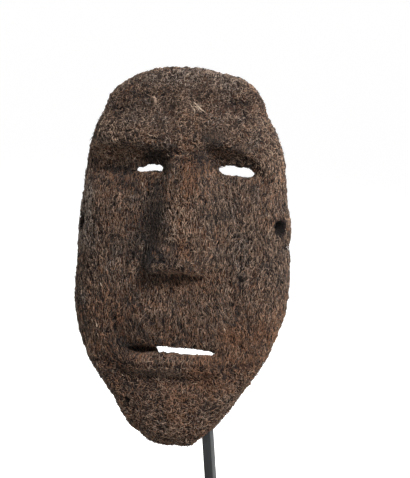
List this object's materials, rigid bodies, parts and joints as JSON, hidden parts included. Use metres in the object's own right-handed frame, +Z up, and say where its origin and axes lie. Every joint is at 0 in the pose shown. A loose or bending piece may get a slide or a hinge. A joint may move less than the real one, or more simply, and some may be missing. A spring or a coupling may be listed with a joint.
{
  "type": "tree fern mask",
  "caption": "Carved tree fern mask with a heavy brow, slit eyes, long broad nose and open mouth, hung by its side holes on a steel display stand.",
  "frame": {"origin": "middle of the underside of the stand's foot", "axes": "+Z up, the face looks along -Y, +X to the right of someone facing the mask"},
  "size_m": [0.2472, 0.1821, 0.5379],
  "materials": {
    "fern_root_fibre": "matted dark brown tree fern root fibres, dry and rough, greyer where worn and reddish in patches",
    "blackened_steel": "blackened mild steel, waxed, low sheen"
  },
  "bodies": {
    "root": {"mask": "fern_root_fibre", "stand_cradle": "blackened_steel", "stand_post": "blackened_steel", "stand_foot": "blackened_steel"}
  },
  "joints": []
}
